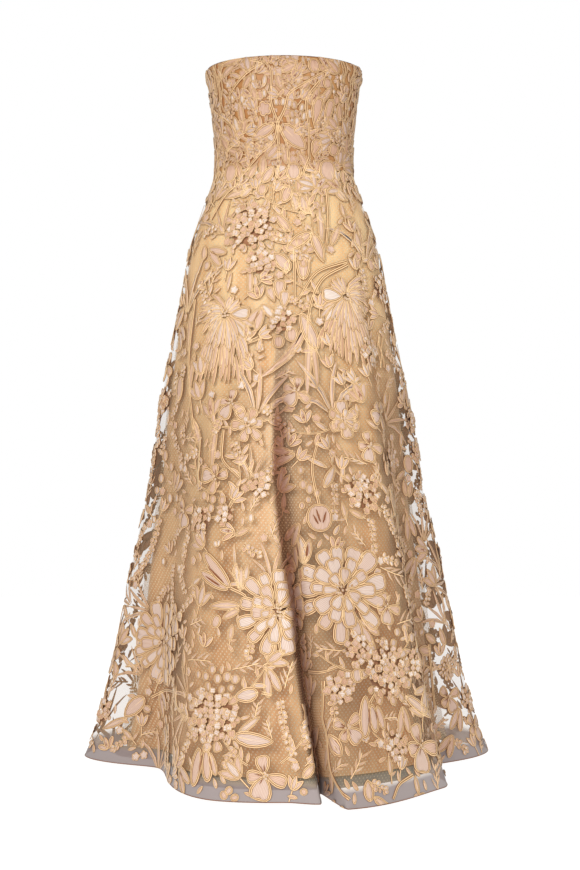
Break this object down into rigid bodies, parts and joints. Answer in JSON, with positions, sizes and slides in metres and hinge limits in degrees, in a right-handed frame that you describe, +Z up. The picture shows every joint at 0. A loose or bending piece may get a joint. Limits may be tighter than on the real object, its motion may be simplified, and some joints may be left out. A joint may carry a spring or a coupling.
{
  "type": "strapless ball gown",
  "caption": "Strapless floor-length gown: fitted bodice and flared embroidered lace skirt over a spotted net and a lining, with a zip at the centre back.",
  "frame": {"origin": "middle of the waist, where the wearer holds the gown up", "axes": "+Z up along the body, the front faces -Y, +X is the wearer's left"},
  "size_m": [0.7931, 0.7436, 1.3316],
  "materials": {
    "embroidered_lace": "sheer tulle with corded and satin-stitched flowers",
    "spotted_net": "fine spotted net",
    "satin_lining": "plain lining with a soft sheen",
    "zip_tape": "woven tape",
    "zip_metal": "satin"
  },
  "bodies": {
    "gown": {"bodice_front": "embroidered_lace", "bodice_back_left": "embroidered_lace", "bodice_back_right": "embroidered_lace", "skirt_lace_front": "embroidered_lace", "skirt_lace_back_left": "embroidered_lace", "skirt_lace_back_right": "embroidered_lace", "skirt_net_front": "spotted_net", "skirt_net_back_left": "spotted_net", "skirt_net_back_right": "spotted_net", "bodice_lining_front": "satin_lining", "bodice_lining_back_left": "satin_lining", "bodice_lining_back_right": "satin_lining", "skirt_lining_front": "satin_lining", "skirt_lining_back_left": "satin_lining", "skirt_lining_back_right": "satin_lining", "zip_tape_left": "zip_tape", "zip_tape_right": "zip_tape", "zip_slider": "zip_metal"},
    "pull": {"zip_pull": "zip_metal"}
  },
  "joints": [
    {"name": "pull_swing", "type": "hinge", "parent": "gown", "child": "pull", "pos_m": [0, 0.1035, 0.149], "axis": [1, 0, 0], "range_deg": [0, 150]}
  ]
}
